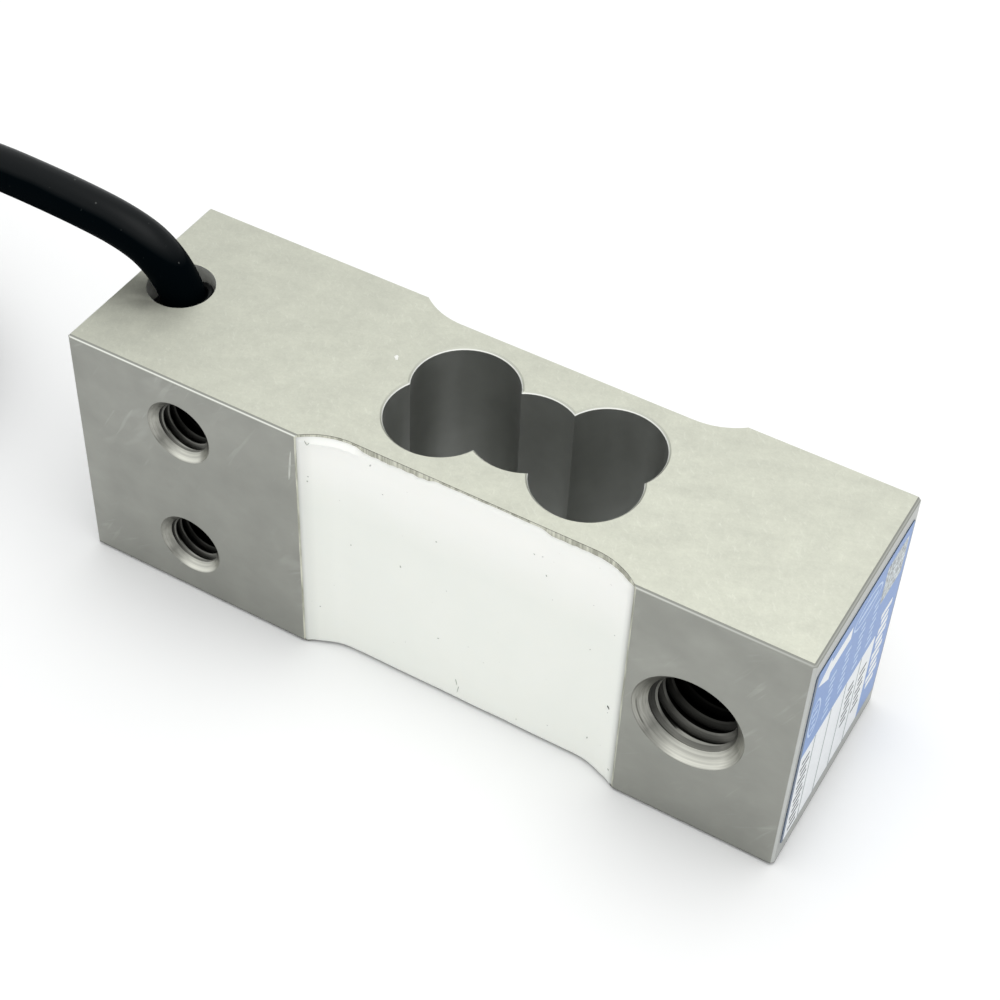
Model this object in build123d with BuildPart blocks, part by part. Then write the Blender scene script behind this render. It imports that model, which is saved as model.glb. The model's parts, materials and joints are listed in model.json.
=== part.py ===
"""Single point load cell, in millimetres.

The block lies on one side face, with its flexure bore upright: X runs along its length, from the cable
end to the load end, Y across it, from the tapped mounting face at the front to the back, and Z up. The
origin is the middle of the face that it lies on.
"""

import math
import os

from build123d import *

# Block
body_length = 100.0
body_width = 30.0
body_height = 37.0
body_edge = 0.4

# Waist milled across the front and the back
waist_centre = 5.85
waist_length = 45.2
waist_depth = 2.65
cutter_radius = 9.5

# Gauge pocket inside each waist, and the deeper recess for its terminal board
pocket_depth = 1.1
pocket_lip = 1.0
pocket_end_margin = 0.3
board_length = 9.0
board_height = 18.0
board_thickness = 1.0
board_gap = 0.3
recess_corner = 1.5

# Five-lobe flexure bore
lobe_radius = 6.74
lobe_x = 9.87
lobe_y = 3.1
bore_edge = 0.3

# Two tapped support holes, M8, near the cable end
support_thread = 8.0
support_drill = 6.8
support_sink = 9.3
support_from_end = 16.0
support_spacing = 20.0
support_thread_depth = 15.0
support_drill_depth = 18.0

# One tapped load hole, M12, near the load end
load_thread = 12.0
load_drill = 10.2
load_sink = 14.5
load_from_end = 13.35
load_thread_depth = 17.0
load_drill_depth = 20.0

drill_point_angle = 118.0
sink_angle = 90.0

# Cable bore in the upper side face
cable_bore = 8.76
cable_bore_from_end = 6.3
cable_bore_depth = 25.0
potting_depth = 7.6

# Wire passages inside the block
channel_diameter = 3.5
channel_mouth_from_waist = 5.25
channel_mouth_height = 0.95
cross_hole = 2.4
cross_hole_from_waist = 2.35
cross_hole_rise = 7.0

# Bonded gauges and the boards' solder pads
gauge_length = 7.0
gauge_width = 4.0
film_thickness = 0.08
foil_thickness = 0.04
foil_line = 0.3
foil_pitch = 0.6
foil_lines = 5
tab_size = 0.9
tab_spacing = 2.0
pad_length = 1.8
pad_width = 0.6
pad_inset = 0.3
contact_gap = 0.02

# Trimming resistors
resistor_diameter = 1.0
resistor_length = 3.4
resistor_sides = 12
resistor_cap = 0.6
resistor_cap_step = 0.06
resistor_rise = 5.0
resistor_offset = 0.8

# Inner wires, drawn with flat sides
wire_sides = 6
jumper_diameter = 0.3
lead_diameter = 0.6
lead_pitch = 0.85
lead_fan = 1.0
lead_clearance = 2.8
lead_bend = 1.6
crossover_diameter = 0.6
crossover_pitch = 0.7
crossover_bend = 1.2

# Silicone over the gauges
sealant_crown = 0.3
sealant_edge = 0.3
sealant_rim = 0.4
bare_strips = ((-10.0, 1.3), (15.0, 28.4))

# Rating plate on the load end
label_width = 28.0
label_height = 31.0
label_base = 3.3
label_corner = 0.6
label_thickness = 0.12

# Cable: the points of its free stretch, from the potting to the hank
cable_diameter = 5.8
sleeve_wall = 0.6
sleeve_turn = 20.8
cable_points = [
    Vector(-43.0, 0.0, 29.4),
    Vector(-43.0, 0.0, 34.7),
    Vector(-45.5, 0.0, 39.5),
    Vector(-50.0, 0.0, 42.6),
    Vector(-60.6, 0.0, 43.9),
    Vector(-77.0, 0.3, 43.9),
    Vector(-94.2, 2.0, 38.5),
    Vector(-107.8, 4.5, 28.3),
    Vector(-122.1, 7.3, 19.0),
    Vector(-138.5, 9.3, 14.7),
    Vector(-152.5, 9.3, 14.7),
]

# Hank: the rest of the cable, two turns wide and two high, with one more half turn on top
hank_columns = 2
hank_rows = 2
hank_near = -107.0
hank_far = -156.0
hank_middle = -11.0
hank_inner_radius = 14.5
hank_top_end = -112.0
hank_edge = 1.8
tie_place = -118.0
tie_width = 4.0
tie_thickness = 0.9

# Tail of the cable inside the hank, with its bared end
tail_points = [
    Vector(-158.0, -28.4, 2.9),
    Vector(-149.0, -27.0, 2.9),
    Vector(-140.0, -22.9, 3.05),
    Vector(-131.0, -19.6, 3.3),
    Vector(-122.0, -18.4, 3.3),
]
tail_gap = 0.2
tail_sleeve_cover = 4.8
tail_sleeve_nose = 6.0
tail_sleeve_wall = 0.4
conductor_diameter = 1.3
conductor_sides = 8
conductor_offset = 0.85
conductor_ends = {
    "red": (-102.4, -21.6),
    "white": (-100.6, -18.6),
    "green": (-100.0, -13.4),
    "black": (-101.4, -8.6),
}
drain_diameter = 0.8
drain_end = (-98.6, -16.3)
tip_diameter = 0.8
tip_length = 4.0

# Places worked out from the sizes above
face_y = body_width / 2
floor_y = face_y - waist_depth - pocket_depth
mid_z = body_height / 2
waist_left = waist_centre - waist_length / 2
support_x = -body_length / 2 + support_from_end
load_x = body_length / 2 - load_from_end
cable_bore_x = -body_length / 2 + cable_bore_from_end
potting_top = body_height - potting_depth
foil_level = film_thickness + foil_thickness
cross_x = waist_left + cross_hole_from_waist
cross_z = mid_z + cross_hole_rise
pad_x = board_length / 2 - pad_inset - pad_length / 2
cable_radius = cable_diameter / 2
hank_width = hank_columns * cable_diameter
hank_height = hank_rows * cable_diameter
hank_centre_radius = hank_inner_radius + hank_width / 2

os.makedirs("parts", exist_ok=True)
nodes = {}


def keep(name, part):
    """Label a finished piece and write it as its own file."""
    part.label = name
    nodes[name] = part
    export_step(part, f"parts/{name}.step")


def corner_radii(points):
    """Radii of the arcs that join the runs, each as large as its shorter run allows."""
    radii = []
    for before, corner, after in zip(points, points[1:], points[2:]):
        run_in = corner - before
        run_out = after - corner
        half_turn = math.radians(run_in.get_angle(run_out)) / 2
        radii.append(0.45 * min(run_in.length, run_out.length) / math.tan(half_turn))
    return radii


def sweep_cord(points, radii, radius, sides=None):
    """Add a tube, round or with flat sides, along straight runs and tangent arcs; returns its length."""
    with BuildLine() as path:
        FilletPolyline(*points, radius=radii)
    with BuildSketch(Plane(path.line @ 0, z_dir=path.line % 0)) as section:
        if sides:
            RegularPolygon(radius, sides)
        else:
            Circle(radius)
    sweep(sections=section.sketch, path=path.line)
    return sum(edge.length for edge in path.edges())


def slot_outline(half_mouth, depth):
    """Draw the cutter's path across the front: a flat floor with an arc up to the face at each end."""
    reach = math.sqrt(depth * (2 * cutter_radius - depth))
    with Locations((waist_centre, -face_y + depth - cutter_radius)):
        SlotCenterToCenter(2 * (half_mouth - reach), 2 * cutter_radius)


def cut_tapped_hole(x, z, thread, sink, thread_depth, drill, drill_depth):
    """Cut a blind tapped hole with a countersunk mouth and a drill point into the front."""
    mouth = Plane(origin=(x, -face_y, z), x_dir=(1, 0, 0), z_dir=(0, -1, 0))
    point_height = drill / 2 / math.tan(math.radians(drill_point_angle / 2))
    with Locations(mouth):
        CounterSinkHole(thread / 2, sink / 2, thread_depth, sink_angle)
        Hole(drill / 2, drill_depth)
        with Locations((0, 0, -drill_depth)):
            Cone(
                drill / 2,
                0,
                point_height,
                rotation=(180, 0, 0),
                align=(Align.CENTER, Align.CENTER, Align.MIN),
                mode=Mode.SUBTRACT,
            )


# Hollow for the gauges, their board and the crossover wires, in the front
with BuildPart() as gauge_hollow:
    with BuildSketch(Plane.XY.offset(pocket_lip)) as pocket_sketch:
        slot_outline(waist_length / 2 - pocket_end_margin, waist_depth + pocket_depth)
    extrude(amount=body_height - 2 * pocket_lip)
    with BuildSketch(Plane.XZ.offset(floor_y - board_thickness)) as recess_sketch:
        with Locations((waist_centre, mid_z)):
            RectangleRounded(board_length + 2 * board_gap, board_height + 2 * board_gap, recess_corner)
    extrude(amount=board_thickness + pocket_depth)
    with BuildSketch(Plane.XZ.offset(floor_y)) as groove_sketch:
        with Locations((cross_x, cross_z)):
            SlotOverall(
                waist_centre - cross_x + cross_hole,
                cross_hole,
                align=(Align.MIN, Align.CENTER),
            )
        with Locations((cross_x, cross_z)):
            Circle(cross_hole / 2)
    extrude(amount=waist_depth + pocket_depth)

# Direction of the wire channel, from the cable bore to the gauge pocket
channel_start = Vector(cable_bore_x, 0, mid_z)
channel_mouth = Vector(
    waist_left + channel_mouth_from_waist,
    -floor_y - channel_mouth_height,
    mid_z,
)
channel_direction = (channel_mouth - channel_start).normalized()

# Load cell body
with BuildPart() as load_cell_body:
    Box(body_length, body_width, body_height, align=(Align.CENTER, Align.CENTER, Align.MIN))
    chamfer(load_cell_body.edges(), body_edge)

    with BuildSketch(Plane.XY) as waist_sketch:
        slot_outline(waist_length / 2, waist_depth)
        mirror(about=Plane.XZ)
    extrude(amount=body_height, mode=Mode.SUBTRACT)
    add(gauge_hollow.part, mode=Mode.SUBTRACT)
    add(mirror(gauge_hollow.part, about=Plane.XZ), mode=Mode.SUBTRACT)

    with BuildSketch(Plane.XY) as bore_sketch:
        with Locations((waist_centre, 0)):
            Circle(lobe_radius)
            with GridLocations(2 * lobe_x, 2 * lobe_y, 2, 2):
                Circle(lobe_radius)
    extrude(amount=body_height, mode=Mode.SUBTRACT)
    bore_box = lobe_x + lobe_radius + bore_edge
    bore_rims = load_cell_body.edges().filter_by(GeomType.CIRCLE).filter_by(
        lambda edge: abs(edge.radius - lobe_radius) < 0.001
        and abs(edge.center().X - waist_centre) < bore_box
    )
    bore_rims = bore_rims.filter_by(lambda edge: abs(edge.tangent_at(0).Z) < 0.001)
    chamfer(bore_rims, bore_edge)

    for row in (-1, 1):
        cut_tapped_hole(
            support_x,
            mid_z + row * support_spacing / 2,
            support_thread,
            support_sink,
            support_thread_depth,
            support_drill,
            support_drill_depth,
        )
    cut_tapped_hole(
        load_x,
        mid_z,
        load_thread,
        load_sink,
        load_thread_depth,
        load_drill,
        load_drill_depth,
    )

    with Locations((cable_bore_x, 0, body_height)):
        Hole(cable_bore / 2, cable_bore_depth)
    with BuildSketch(Plane(channel_start, z_dir=channel_direction)) as channel_sketch:
        Circle(channel_diameter / 2)
    channel_reach = (face_y + channel_diameter) / abs(channel_direction.Y)
    extrude(amount=channel_reach, mode=Mode.SUBTRACT)
    with Locations((cross_x, 0, cross_z)):
        Cylinder(cross_hole / 2, body_width, rotation=(90, 0, 0), mode=Mode.SUBTRACT)
keep("load_cell_body", load_cell_body.part)


# Strain gauges, one over each thin section, with their solder tabs towards the board
for face, side in (("front", -1), ("back", 1)):
    for end, direction in (("left", -1), ("right", 1)):
        bond = Plane(
            origin=(waist_centre + direction * lobe_x, side * floor_y, mid_z),
            x_dir=(-direction, 0, 0),
            z_dir=(0, side, 0),
        )
        grid_length = gauge_length - 2 * tab_size - 2 * foil_line
        with BuildPart() as gauge:
            with BuildSketch(bond) as film_sketch:
                Rectangle(gauge_length, gauge_width)
            extrude(amount=film_thickness)
            with BuildSketch(bond.offset(film_thickness)) as foil_sketch:
                with Locations((-tab_size, 0)):
                    with GridLocations(0, foil_pitch, 1, foil_lines):
                        Rectangle(grid_length, foil_line)
                with Locations((gauge_length / 2 - tab_size, 0)):
                    with GridLocations(0, tab_spacing, 1, 2):
                        Rectangle(tab_size, tab_size)
            extrude(amount=foil_thickness)
        keep(f"{face}_{end}_gauge", gauge.part)


# Terminal boards in their recesses, with one row of pads at each end
lead_rises = [-lead_clearance - lead_fan, -lead_clearance, lead_clearance, lead_clearance + lead_fan]
crossover_rises = [cross_hole_rise + step * crossover_pitch for step in (-1, 0, 1)]
jumper_rises = [-tab_spacing / 2, tab_spacing / 2]
resistor_rises = {"span_resistor": resistor_rise, "zero_resistor": -resistor_rise}
for face, side, wire_rises in (
    ("front", -1, lead_rises + crossover_rises),
    ("back", 1, crossover_rises),
):
    seat = Plane(
        origin=(waist_centre, side * (floor_y - board_thickness), mid_z),
        x_dir=(-side, 0, 0),
        z_dir=(0, side, 0),
    )
    with BuildPart() as board:
        with BuildSketch(seat) as board_sketch:
            RectangleRounded(board_length, board_height, recess_corner - board_gap)
        extrude(amount=board_thickness)
        with BuildSketch(seat.offset(board_thickness)) as pad_sketch:
            for rise in wire_rises + jumper_rises:
                with Locations((side * pad_x, rise)):
                    Rectangle(pad_length, pad_width)
            for rise in jumper_rises:
                with Locations((-side * pad_x, rise)):
                    Rectangle(pad_length, pad_width)
            if face == "front":
                with Locations((resistor_offset, 0)):
                    with GridLocations(resistor_length - resistor_cap, 2 * resistor_rise, 2, 2):
                        Rectangle(resistor_cap, resistor_diameter)
        extrude(amount=foil_level)
    keep(f"{face}_terminal_board", board.part)


# Trimming resistors, each a rod with two end caps, on the front board
for name, rise in resistor_rises.items():
    resistor_axis = Plane(
        origin=(
            waist_centre + resistor_offset,
            -floor_y - foil_level - contact_gap - resistor_diameter / 2,
            mid_z + rise,
        ),
        z_dir=(1, 0, 0),
    )
    with BuildPart() as resistor:
        with BuildSketch(resistor_axis.offset(-resistor_length / 2)) as cap_sketch:
            RegularPolygon(resistor_diameter / 2, resistor_sides)
        extrude(amount=resistor_cap)
        with BuildSketch(resistor_axis.offset(-resistor_length / 2 + resistor_cap)) as rod_sketch:
            RegularPolygon(resistor_diameter / 2 - resistor_cap_step, resistor_sides)
        extrude(amount=resistor_length - 2 * resistor_cap)
        with BuildSketch(resistor_axis.offset(resistor_length / 2 - resistor_cap)) as end_sketch:
            RegularPolygon(resistor_diameter / 2, resistor_sides)
        extrude(amount=resistor_cap)
    keep(name, resistor.part)


# Jumper wires between each gauge's tabs and its board
def jumper_wires(side):
    """Add the four short wires of one face."""
    level = side * (floor_y + foil_level + contact_gap + jumper_diameter / 2)
    gauge_tab = lobe_x - gauge_length / 2 + tab_size
    for direction in (-1, 1):
        for rise in jumper_rises:
            start = Vector(waist_centre + direction * gauge_tab, level, mid_z + rise)
            end = Vector(waist_centre + direction * pad_x, level, mid_z + rise)
            with BuildSketch(Plane(start, z_dir=end - start)) as wire_section:
                RegularPolygon(jumper_diameter / 2, wire_sides)
            extrude(wire_section.sketch, amount=(end - start).length)


with BuildPart() as front_jumpers:
    jumper_wires(-1)
keep("front_jumpers", front_jumpers.part)

with BuildPart() as back_jumpers:
    jumper_wires(1)
keep("back_jumpers", back_jumpers.part)


# Crossover wires, from the front board through the cross hole to the back board
with BuildPart() as crossover_wires:
    level = floor_y + foil_level + contact_gap + crossover_diameter / 2
    for rise in crossover_rises:
        corners = [
            Vector(waist_centre - pad_x, -level, mid_z + rise),
            Vector(cross_x, -level, mid_z + rise),
            Vector(cross_x, level, mid_z + rise),
            Vector(waist_centre - pad_x, level, mid_z + rise),
        ]
        sweep_cord(corners, crossover_bend, crossover_diameter / 2, wire_sides)
keep("crossover_wires", crossover_wires.part)


# The cable's four cores inside the block, from the potting through the channel to the front board
lead_level = floor_y + foil_level + contact_gap + lead_diameter / 2
for name, step, rise in zip(("red", "black", "green", "white"), (-1.5, -0.5, 0.5, 1.5), lead_rises):
    shift = step * lead_pitch
    drop = channel_start + channel_direction * shift
    corners = [
        Vector(drop.X, drop.Y, potting_top),
        Vector(drop.X, drop.Y, mid_z + shift),
        Vector(channel_mouth.X, channel_mouth.Y, mid_z + shift),
        Vector(waist_centre - lobe_x - gauge_length / 2 - lead_diameter, -lead_level, mid_z + rise),
        Vector(waist_centre - pad_x, -lead_level, mid_z + rise),
    ]
    with BuildPart() as lead:
        sweep_cord(corners, lead_bend, lead_diameter / 2, wire_sides)
    keep(f"lead_{name}", lead.part)


# Potting compound round the cores, at the bottom of the cable bore
with BuildPart() as cable_potting:
    with Locations((cable_bore_x, 0, potting_top)):
        Cylinder(
            cable_bore / 2,
            cable_bore_depth - potting_depth,
            align=(Align.CENTER, Align.CENTER, Align.MAX),
        )
    for name in ("red", "black", "green", "white"):
        add(nodes[f"lead_{name}"], mode=Mode.SUBTRACT)
keep("cable_potting", cable_potting.part)


# Silicone that fills one hollow and follows the waist, before the pieces inside it are taken out
with BuildPart() as silicone:
    add(gauge_hollow.part)
    with BuildSketch(Plane.XY.offset(sealant_rim)) as skin_sketch:
        slot_outline(waist_length / 2, waist_depth)
    extrude(amount=body_height - 2 * sealant_rim)
    with BuildSketch(Plane.XY) as outside_sketch:
        slot_outline(waist_length / 2 - sealant_edge, waist_depth - sealant_crown)
        with Locations((0, -face_y)):
            Rectangle(body_length, body_width, align=(Align.CENTER, Align.MAX))
    extrude(amount=body_height, mode=Mode.SUBTRACT)

with BuildPart() as front_sealant:
    add(silicone.part)
    for start, end in bare_strips:
        with Locations((start, -face_y, body_height)):
            Box(
                end - start,
                waist_depth,
                pocket_lip,
                align=(Align.MIN, Align.MIN, Align.MAX),
                mode=Mode.SUBTRACT,
            )
    for name, piece in list(nodes.items()):
        if name.startswith("front") or name.startswith("lead"):
            add(piece, mode=Mode.SUBTRACT)
    for name in ("span_resistor", "zero_resistor", "crossover_wires"):
        add(nodes[name], mode=Mode.SUBTRACT)
keep("front_sealant", front_sealant.part)

with BuildPart() as back_sealant:
    add(mirror(silicone.part, about=Plane.XZ))
    for name, piece in list(nodes.items()):
        if name.startswith("back"):
            add(piece, mode=Mode.SUBTRACT)
    add(nodes["crossover_wires"], mode=Mode.SUBTRACT)
keep("back_sealant", back_sealant.part)


# Rating plate
with BuildPart() as rating_label:
    with BuildSketch(Plane.YZ.offset(body_length / 2)) as label_sketch:
        with Locations((0, label_base + label_height / 2)):
            RectangleRounded(label_width, label_height, label_corner)
    extrude(amount=label_thickness)
keep("rating_label", rating_label.part)


# Free stretch of the cable
cable_radii = corner_radii(cable_points)
with BuildPart() as cable:
    cable_run = sweep_cord(cable_points, cable_radii, cable_radius)
keep("cable", cable.part)


# Collar round the cable, from the potting to just below the mouth of the bore
with BuildPart() as cable_sleeve:
    foot = cable_points[0]
    bend = foot.Z + 0.55 * (cable_points[1] - foot).length
    with BuildLine(Plane.XZ) as sleeve_path:
        Line((foot.X, foot.Z), (foot.X, bend))
        JernArc((foot.X, bend), (0, 1), cable_radii[0], sleeve_turn)
    with BuildSketch(Plane(sleeve_path.line @ 0, z_dir=sleeve_path.line % 0)) as sleeve_section:
        Circle(cable_radius + sleeve_wall)
        Circle(cable_radius, mode=Mode.SUBTRACT)
    sweep(sections=sleeve_section.sketch, path=sleeve_path.line)
keep("cable_sleeve", cable_sleeve.part)


def ring_section(plane, width, height):
    """Draw the section of cables that lie side by side on each other, with bevelled corners."""
    with BuildSketch(plane) as section:
        Rectangle(width, height)
        chamfer(section.vertices(), hank_edge)
    return section.sketch


# Hank of the put-away length
hank_low = hank_height / 2
hank_top = cable_points[-1].Z
with BuildPart() as cable_hank:
    near_y = hank_middle + hank_centre_radius
    far_y = hank_middle - hank_centre_radius
    with BuildLine() as hank_loop:
        back_run = Line((hank_near, near_y, hank_low), (hank_far, near_y, hank_low))
        far_turn = JernArc(back_run @ 1, back_run % 1, hank_centre_radius, 180)
        front_run = Line(far_turn @ 1, (hank_near, far_y, hank_low))
        JernArc(front_run @ 1, front_run % 1, hank_centre_radius, 180)
    loop_plane = Plane(origin=(hank_near, near_y, hank_low), x_dir=(0, 1, 0), z_dir=(-1, 0, 0))
    loop_section = ring_section(loop_plane, hank_width, hank_height)
    sweep(sections=loop_section, path=hank_loop.line)
    with BuildLine() as top_turn:
        top_start = Line(cable_points[-1], (hank_far, cable_points[-1].Y, hank_top))
        top_arc = JernArc(top_start @ 1, top_start % 1, cable_points[-1].Y - hank_middle, 180)
        Line(top_arc @ 1, (hank_top_end, (top_arc @ 1).Y, hank_top))
    top_height = 2 * (hank_top - hank_height)
    top_plane = Plane(origin=cable_points[-1], x_dir=(0, 1, 0), z_dir=(-1, 0, 0))
    top_section = ring_section(top_plane, cable_diameter, top_height)
    sweep(sections=top_section, path=top_turn.line)

# Tie round the back run of the hank, pressed in by its own thickness
with BuildPart() as hank_tie:
    tie_plane = Plane(
        origin=(tie_place, near_y, hank_low),
        x_dir=(0, 1, 0),
        z_dir=(1, 0, 0),
    )
    with BuildSketch(tie_plane) as tie_sketch:
        add(ring_section(Plane.XY, hank_width, hank_height))
        offset(amount=-tie_thickness, kind=Kind.INTERSECTION, mode=Mode.SUBTRACT)
    extrude(amount=tie_width / 2, both=True)
keep("hank_tie", hank_tie.part)

with BuildPart() as bound_hank:
    add(cable_hank.part)
    add(hank_tie.part, mode=Mode.SUBTRACT)
keep("cable_hank", bound_hank.part)


# Tail of the cable, from the inner side of the hank
hank_wall = Vector(hank_far, hank_middle - hank_inner_radius + tail_gap, 0)
tail_radii = corner_radii(tail_points)
with BuildPart() as cable_tail:
    sweep_cord(tail_points, tail_radii, cable_radius)
    split(bisect_by=Plane(hank_wall, z_dir=(0, 1, 0)), keep=Keep.TOP)
keep("cable_tail", cable_tail.part)

tail_direction = (tail_points[-1] - tail_points[-2]).normalized()
tail_end = Plane(tail_points[-1], x_dir=(0, 0, 1), z_dir=tail_direction)


# Bared cores, each with a tinned tip
def conductor_route(offset_x, offset_y, end, diameter):
    """Points of one core: out of the sleeve, then down to the surface and apart."""
    start = tail_end.from_local_coords(Vector(offset_x, offset_y, 0))
    nose = tail_end.from_local_coords(Vector(offset_x, offset_y, tail_sleeve_nose + 1))
    finish = Vector(end[0], end[1], diameter / 2)
    landing = nose + (finish - nose) * 0.6
    landing = Vector(landing.X, landing.Y, diameter / 2 + 0.05)
    return [start, nose, landing, finish]


conductor_seats = ((-1, 1), (1, 1), (1, -1), (-1, -1))
tip_planes = []
for (name, end), (seat_x, seat_y) in zip(conductor_ends.items(), conductor_seats):
    route = conductor_route(
        seat_x * conductor_offset, seat_y * conductor_offset, end, conductor_diameter
    )
    with BuildPart() as conductor:
        sweep_cord(route, corner_radii(route), conductor_diameter / 2, conductor_sides)
    keep(f"conductor_{name}", conductor.part)
    tip_planes.append(Plane(route[-1], z_dir=route[-1] - route[-2]))

with BuildPart() as conductor_tips:
    for tip_plane in tip_planes:
        with BuildSketch(tip_plane) as tip_sketch:
            RegularPolygon(tip_diameter / 2, conductor_sides)
        extrude(amount=tip_length)
keep("conductor_tips", conductor_tips.part)

with BuildPart() as drain_wire:
    route = conductor_route(0, 0, drain_end, drain_diameter)
    sweep_cord(route, corner_radii(route), drain_diameter / 2, conductor_sides)
keep("drain_wire", drain_wire.part)

# Shrink sleeve over the end of the jacket
with BuildPart() as tail_sleeve:
    with BuildSketch(tail_end.offset(-tail_sleeve_cover)) as cover_sketch:
        Circle(cable_radius + tail_sleeve_wall)
        Circle(cable_radius, mode=Mode.SUBTRACT)
    extrude(amount=tail_sleeve_cover)
    with BuildSketch(tail_end) as nose_base:
        Circle(cable_radius + tail_sleeve_wall)
    with BuildSketch(tail_end.offset(tail_sleeve_nose)) as nose_end:
        Circle(conductor_offset + conductor_diameter / 2 + tail_sleeve_wall)
    loft()
    for name in conductor_ends:
        add(nodes[f"conductor_{name}"], mode=Mode.SUBTRACT)
    add(drain_wire.part, mode=Mode.SUBTRACT)
keep("tail_sleeve", tail_sleeve.part)


section_area = math.pi * cable_radius**2
print("cable radii:", [round(radius, 1) for radius in cable_radii])
print("tail radii:", [round(radius, 1) for radius in tail_radii])
print("cable run:", round(cable_run, 2), "volume ratio:", round(cable.part.volume / section_area / cable_run, 5))
print("pieces:", len(nodes))
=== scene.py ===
"""Looks of the single point load cell: finishes, threads, silicone, plate, cable, light, camera."""

import json
import math

import bmesh
import bpy
from mathutils import Matrix, Quaternion, Vector, noise
from mathutils.bvhtree import BVHTree


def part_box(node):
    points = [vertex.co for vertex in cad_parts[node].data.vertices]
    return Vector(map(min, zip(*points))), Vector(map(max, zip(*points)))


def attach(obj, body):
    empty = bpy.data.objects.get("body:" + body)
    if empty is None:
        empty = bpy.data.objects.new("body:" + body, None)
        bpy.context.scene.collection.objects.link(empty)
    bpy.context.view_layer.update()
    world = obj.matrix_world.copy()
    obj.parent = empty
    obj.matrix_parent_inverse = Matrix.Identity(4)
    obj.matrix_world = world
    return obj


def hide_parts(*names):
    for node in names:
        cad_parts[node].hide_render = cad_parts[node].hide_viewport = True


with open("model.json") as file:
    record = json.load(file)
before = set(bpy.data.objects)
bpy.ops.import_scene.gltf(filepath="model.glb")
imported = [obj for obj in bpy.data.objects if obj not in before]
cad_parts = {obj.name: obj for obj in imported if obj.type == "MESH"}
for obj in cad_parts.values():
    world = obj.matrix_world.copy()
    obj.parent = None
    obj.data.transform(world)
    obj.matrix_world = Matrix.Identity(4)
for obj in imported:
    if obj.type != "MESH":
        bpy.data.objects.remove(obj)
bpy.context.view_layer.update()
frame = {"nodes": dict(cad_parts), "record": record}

mm = 0.001

# Block, read from the frame
body_low, body_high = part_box("load_cell_body")
front_y = body_low.y
back_y = body_high.y
top_z = body_high.z
mid_z = top_z / 2

# Waist, as milled across the front and the back
waist_centre = 5.85 * mm
waist_length = 45.2 * mm
waist_start = waist_centre - waist_length / 2
waist_end = waist_start + waist_length
waist_depth = 2.65 * mm
cutter_radius = 9.5 * mm
pocket_depth = 1.1 * mm
pocket_lip = 1.0 * mm
pocket_fill = 0.9

# Places that the block's material tells apart, for its finish and for its painted light and shade
face_skin = 0.05 * mm
waist_wall = 11.5 * mm
bore_reach = 11.3 * mm
edge_height = 0.45 * mm
flat_level = 0.96
slant_level = 0.25

# Silicone over the waist
sealant_crown = 0.3 * mm
sealant_edge = 0.3 * mm
sealant_end = 0.5 * mm
sealant_rim = 0.4 * mm
sealant_low_rim = 0.12 * mm
sealant_skin = 0.03 * mm
sealant_bulge = 0.4 * mm
bulge_reach = 7.0 * mm
bulge_taper = 3.0 * mm
sealant_roll = 0.9 * mm
sealant_step = 0.32 * mm
bare_strips = ((-10.0 * mm, 1.3 * mm), (15.0 * mm, 28.4 * mm))
strip_drop = 0.5 * mm
strip_taper = 1.6 * mm

# Bead under the silicone's upper edge, at its left
bead_span = (-16.2 * mm, -8.6 * mm)
bead_taper = 1.4 * mm
bead_drop = 0.55 * mm
bead_half = 0.38 * mm
bead_height = 0.34 * mm

# Unevenness of the silicone: height, length and seed of each noise
low_edge_noise = (0.07 * mm, 3.2 * mm, 1.0)
top_edge_noise = (0.10 * mm, 2.6 * mm, 2.0)
swell_noise = (0.05 * mm, 5.0 * mm, 3.0)
ripple_noise = (0.02 * mm, 1.2 * mm, 4.0)
ripple_draw = 0.4
ragged_noise = (0.3, 0.8 * mm, 5.0)
side_seed = 7.0

# Tapped holes, in millimetres: major and minor radius, pitch, countersink and throat radius, thread
# depth, depth of the first crest at the right, steps in a turn, radius of a groove on the
# countersink
small_thread = (4.0, 3.32, 1.25, 4.65, 3.68, 15.0, 0.93, 40, None)
large_thread = (6.0, 5.05, 2.0, 7.25, 5.8, 17.0, 1.7, 56, 6.78)
thread_root, thread_crest = 0.44, 0.07
support_x = body_low.x + 16.0 * mm
support_half = 10.0 * mm
load_x = body_high.x - 13.35 * mm
tapped_holes = {
    "support_thread_low": (support_x, mid_z - support_half, small_thread),
    "support_thread_high": (support_x, mid_z + support_half, small_thread),
    "load_thread": (load_x, mid_z, large_thread),
}

# Cable and its collar; the control points are in millimetres
cable_radius = 2.9 * mm
cable_points = [
    (-43.0, 0.0, 29.4),
    (-43.0, 0.0, 34.8),
    (-45.4, 0.0, 39.7),
    (-49.9, 0.0, 42.75),
    (-60.6, 0.0, 43.9),
    (-77.0, 0.3, 43.9),
    (-94.2, 2.0, 38.5),
    (-107.8, 4.5, 28.3),
    (-122.1, 7.3, 19.0),
    (-138.5, 9.3, 14.7),
    (-152.5, 9.3, 14.7),
]
tail_points = [
    (-158.0, -28.4, 2.9),
    (-149.0, -27.0, 2.9),
    (-140.0, -22.9, 3.05),
    (-131.0, -19.6, 3.3),
    (-122.0, -18.4, 3.3),
]
cable_bore_x = -43.7 * mm
cable_bore_radius = 4.38 * mm
bore_skin = 0.02 * mm
bore_skin_depth = 4.0 * mm
bore_sides = 72
collar_radius = 3.85 * mm
collar_foot = Vector((-43.0, 0.0, 30.4)) * mm
collar_bend_from = 32.2 * mm
collar_bend_radius = 9.7 * mm
collar_turn = math.radians(18)
collar_steps = 8
collar_lip = 0.28 * mm
lip_steps = 4
collar_gap = 0.1 * mm
collar_sides = 48

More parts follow.
